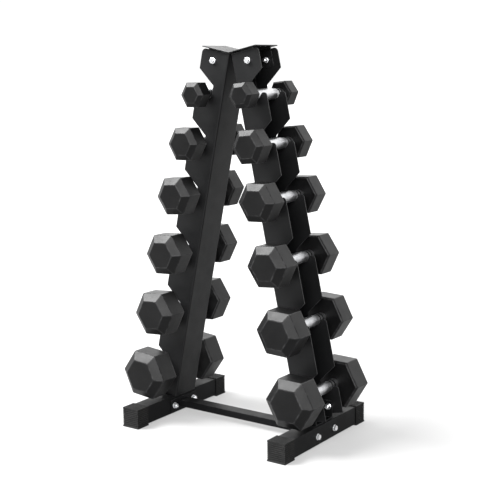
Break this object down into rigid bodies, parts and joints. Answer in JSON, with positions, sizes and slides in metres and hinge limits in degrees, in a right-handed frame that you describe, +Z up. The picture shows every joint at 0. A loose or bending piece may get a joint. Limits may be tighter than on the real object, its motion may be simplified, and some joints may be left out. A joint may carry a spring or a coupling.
{
  "type": "dumbbell rack",
  "caption": "Free-standing A-frame dumbbell rack: two leaning steel channels with hooked cradles hold rubber hex dumbbells that lift off; square-tube feet and a crossbar below.",
  "frame": {"origin": "on the floor, centred under the rack", "axes": "+Z up, +X from the left foot to the right foot, +Y from the pictured front to the rear, along the dumbbell handles"},
  "size_m": [0.6301, 0.4066, 1.0404],
  "materials": {
    "black_powder_coat": "fine-textured black powder coat, low sheen",
    "head_rubber": "matt moulded rubber, bevelled edges",
    "foot_rubber": "matt ribbed rubber",
    "core_iron": "rough casting, hidden inside the rubber",
    "chrome_grip": "polished chrome plating",
    "zinc_steel": "bright zinc plating"
  },
  "bodies": {
    "rack": {"left_leg_channel": "black_powder_coat", "right_leg_channel": "black_powder_coat", "top_cap": "black_powder_coat", "top_bolts": "zinc_steel", "top_nuts": "zinc_steel", "top_washers": "zinc_steel", "left_leg_bracket": "black_powder_coat", "right_leg_bracket": "black_powder_coat", "leg_bolts": "zinc_steel", "leg_nuts": "zinc_steel", "leg_washers": "zinc_steel", "left_foot_tube": "black_powder_coat", "right_foot_tube": "black_powder_coat", "left_foot_cap_front": "foot_rubber", "left_foot_cap_rear": "foot_rubber", "right_foot_cap_front": "foot_rubber", "right_foot_cap_rear": "foot_rubber", "crossbar_tube": "black_powder_coat", "crossbar_end_plates": "black_powder_coat", "foot_bolts": "zinc_steel", "foot_nuts": "zinc_steel", "foot_washers": "zinc_steel"},
    "dumbbell_left_a": {"dumbbell_left_a_heads": "head_rubber", "dumbbell_left_a_cores": "core_iron", "dumbbell_left_a_handle": "chrome_grip"},
    "dumbbell_left_b": {"dumbbell_left_b_heads": "head_rubber", "dumbbell_left_b_cores": "core_iron", "dumbbell_left_b_handle": "chrome_grip"},
    "dumbbell_left_c": {"dumbbell_left_c_heads": "head_rubber", "dumbbell_left_c_cores": "core_iron", "dumbbell_left_c_handle": "chrome_grip"},
    "dumbbell_left_d": {"dumbbell_left_d_heads": "head_rubber", "dumbbell_left_d_cores": "core_iron", "dumbbell_left_d_handle": "chrome_grip"},
    "dumbbell_left_e": {"dumbbell_left_e_heads": "head_rubber", "dumbbell_left_e_cores": "core_iron", "dumbbell_left_e_handle": "chrome_grip"},
    "dumbbell_left_f": {"dumbbell_left_f_heads": "head_rubber", "dumbbell_left_f_cores": "core_iron", "dumbbell_left_f_handle": "chrome_grip"},
    "dumbbell_right_a": {"dumbbell_right_a_heads": "head_rubber", "dumbbell_right_a_cores": "core_iron", "dumbbell_right_a_handle": "chrome_grip"},
    "dumbbell_right_b": {"dumbbell_right_b_heads": "head_rubber", "dumbbell_right_b_cores": "core_iron", "dumbbell_right_b_handle": "chrome_grip"},
    "dumbbell_right_c": {"dumbbell_right_c_heads": "head_rubber", "dumbbell_right_c_cores": "core_iron", "dumbbell_right_c_handle": "chrome_grip"},
    "dumbbell_right_d": {"dumbbell_right_d_heads": "head_rubber", "dumbbell_right_d_cores": "core_iron", "dumbbell_right_d_handle": "chrome_grip"},
    "dumbbell_right_e": {"dumbbell_right_e_heads": "head_rubber", "dumbbell_right_e_cores": "core_iron", "dumbbell_right_e_handle": "chrome_grip"},
    "dumbbell_right_f": {"dumbbell_right_f_heads": "head_rubber", "dumbbell_right_f_cores": "core_iron", "dumbbell_right_f_handle": "chrome_grip"}
  },
  "joints": [
    {"name": "lift_left_a", "type": "slide", "parent": "rack", "child": "dumbbell_left_a", "axis": [-0.5736, 0, 0.8192], "range_m": [0, 0.2]},
    {"name": "lift_left_b", "type": "slide", "parent": "rack", "child": "dumbbell_left_b", "axis": [-0.5736, 0, 0.8192], "range_m": [0, 0.2]},
    {"name": "lift_left_c", "type": "slide", "parent": "rack", "child": "dumbbell_left_c", "axis": [-0.5736, 0, 0.8192], "range_m": [0, 0.2]},
    {"name": "lift_left_d", "type": "slide", "parent": "rack", "child": "dumbbell_left_d", "axis": [-0.5736, 0, 0.8192], "range_m": [0, 0.2]},
    {"name": "lift_left_e", "type": "slide", "parent": "rack", "child": "dumbbell_left_e", "axis": [-0.5736, 0, 0.8192], "range_m": [0, 0.2]},
    {"name": "lift_left_f", "type": "slide", "parent": "rack", "child": "dumbbell_left_f", "axis": [-0.5736, 0, 0.8192], "range_m": [0, 0.2]},
    {"name": "lift_right_a", "type": "slide", "parent": "rack", "child": "dumbbell_right_a", "axis": [0.5736, 0, 0.8192], "range_m": [0, 0.2]},
    {"name": "lift_right_b", "type": "slide", "parent": "rack", "child": "dumbbell_right_b", "axis": [0.5736, 0, 0.8192], "range_m": [0, 0.2]},
    {"name": "lift_right_c", "type": "slide", "parent": "rack", "child": "dumbbell_right_c", "axis": [0.5736, 0, 0.8192], "range_m": [0, 0.2]},
    {"name": "lift_right_d", "type": "slide", "parent": "rack", "child": "dumbbell_right_d", "axis": [0.5736, 0, 0.8192], "range_m": [0, 0.2]},
    {"name": "lift_right_e", "type": "slide", "parent": "rack", "child": "dumbbell_right_e", "axis": [0.5736, 0, 0.8192], "range_m": [0, 0.2]},
    {"name": "lift_right_f", "type": "slide", "parent": "rack", "child": "dumbbell_right_f", "axis": [0.5736, 0, 0.8192], "range_m": [0, 0.2]}
  ]
}
